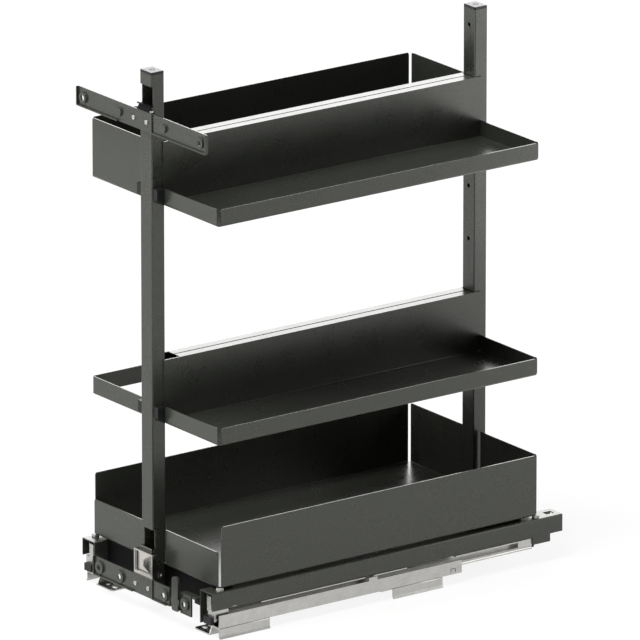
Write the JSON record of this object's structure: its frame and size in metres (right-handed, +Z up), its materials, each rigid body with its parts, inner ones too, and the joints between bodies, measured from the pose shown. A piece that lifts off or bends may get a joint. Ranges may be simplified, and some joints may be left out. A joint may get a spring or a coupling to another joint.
{
  "type": "pull-out spice rack",
  "caption": "Tall narrow pull-out rack for a base cabinet: trays on two posts, full-extension bottom runners, and door brackets at the front.",
  "frame": {"origin": "on the cabinet floor, at the middle of the closed rack's outline in X and Y", "axes": "+X to the right as the door side is faced, -Y out of the cabinet towards the door, +Z up"},
  "size_m": [0.265, 0.5092, 0.645],
  "materials": {
    "powder_coated_steel": "anthracite fine-texture powder coat",
    "black_coated_steel": "black coat, satin",
    "cap_plastic": "moulded, satin grey",
    "black_plastic": "moulded, matt black",
    "pad_plastic": "moulded, natural white",
    "die_cast_zinc": "die-cast, bare and bright",
    "galvanised_steel": "zinc-plated strip, bright",
    "cage_steel": "plain rolled strip",
    "bearing_steel": "polished balls",
    "zinc_plated_steel": "zinc-plated fastener"
  },
  "bodies": {
    "cabinet": {"cabinet_rail_left": "galvanised_steel", "cabinet_rail_right": "galvanised_steel", "front_foot_left": "galvanised_steel", "front_foot_right": "galvanised_steel", "rear_foot_left": "galvanised_steel", "rear_foot_right": "galvanised_steel", "foot_rivets_left": "zinc_plated_steel", "foot_rivets_right": "zinc_plated_steel"},
    "carriage": {"adjuster_block": "die_cast_zinc", "beam_links": "black_coated_steel", "bottom_tray": "powder_coated_steel", "cover_rail_left": "powder_coated_steel", "cover_rail_right": "powder_coated_steel", "front_cross_member": "black_coated_steel", "front_post": "powder_coated_steel", "front_post_cap": "cap_plastic", "height_screw": "zinc_plated_steel", "lever_pin": "zinc_plated_steel", "link_screws": "zinc_plated_steel", "lower_bracket_screws": "zinc_plated_steel", "lower_door_bracket": "powder_coated_steel", "middle_guard": "powder_coated_steel", "middle_shelf": "powder_coated_steel", "moving_rail_left": "galvanised_steel", "moving_rail_right": "galvanised_steel", "post_bolts": "zinc_plated_steel", "post_side_screws": "zinc_plated_steel", "rear_cross_member": "black_coated_steel", "rear_post": "powder_coated_steel", "rear_post_cap": "cap_plastic", "tray_clips": "black_plastic", "tray_pads": "pad_plastic", "upper_bin": "powder_coated_steel", "upper_bracket_screws": "zinc_plated_steel", "upper_door_bracket": "powder_coated_steel", "upper_hook_plate": "black_coated_steel", "upper_shelf": "powder_coated_steel"},
    "middle_rail_left": {"middle_rail_left": "galvanised_steel", "middle_end_caps_left": "black_plastic"},
    "lower_cage_left": {"lower_cage_left": "cage_steel", "lower_balls_left": "bearing_steel"},
    "upper_cage_left": {"upper_cage_left": "cage_steel", "upper_balls_left": "bearing_steel"},
    "middle_rail_right": {"middle_rail_right": "galvanised_steel", "middle_end_caps_right": "black_plastic"},
    "lower_cage_right": {"lower_cage_right": "cage_steel", "lower_balls_right": "bearing_steel"},
    "upper_cage_right": {"upper_cage_right": "cage_steel", "upper_balls_right": "bearing_steel"},
    "release_lever": {"release_lever": "powder_coated_steel"}
  },
  "joints": [
    {"name": "rack_slide", "type": "slide", "parent": "cabinet", "child": "carriage", "axis": [0, -1, 0], "range_m": [0, 0.46]},
    {"name": "middle_rail_left_slide", "type": "slide", "parent": "cabinet", "child": "middle_rail_left", "axis": [0, -1, 0], "range_m": [0, 0.23]},
    {"name": "lower_cage_left_slide", "type": "slide", "parent": "cabinet", "child": "lower_cage_left", "axis": [0, -1, 0], "range_m": [0, 0.115]},
    {"name": "upper_cage_left_slide", "type": "slide", "parent": "cabinet", "child": "upper_cage_left", "axis": [0, -1, 0], "range_m": [0, 0.345]},
    {"name": "middle_rail_right_slide", "type": "slide", "parent": "cabinet", "child": "middle_rail_right", "axis": [0, -1, 0], "range_m": [0, 0.23]},
    {"name": "lower_cage_right_slide", "type": "slide", "parent": "cabinet", "child": "lower_cage_right", "axis": [0, -1, 0], "range_m": [0, 0.115]},
    {"name": "upper_cage_right_slide", "type": "slide", "parent": "cabinet", "child": "upper_cage_right", "axis": [0, -1, 0], "range_m": [0, 0.345]},
    {"name": "release_lever_hinge", "type": "hinge", "parent": "carriage", "child": "release_lever", "pos_m": [0.0676, -0.253, 0.0325], "axis": [1, 0, 0], "range_deg": [0, 8]}
  ],
  "couplings": [
    {"joint": "middle_rail_left_slide", "follows": "rack_slide", "ratio": 0.5},
    {"joint": "lower_cage_left_slide", "follows": "rack_slide", "ratio": 0.25},
    {"joint": "upper_cage_left_slide", "follows": "rack_slide", "ratio": 0.75},
    {"joint": "middle_rail_right_slide", "follows": "rack_slide", "ratio": 0.5},
    {"joint": "lower_cage_right_slide", "follows": "rack_slide", "ratio": 0.25},
    {"joint": "upper_cage_right_slide", "follows": "rack_slide", "ratio": 0.75}
  ]
}
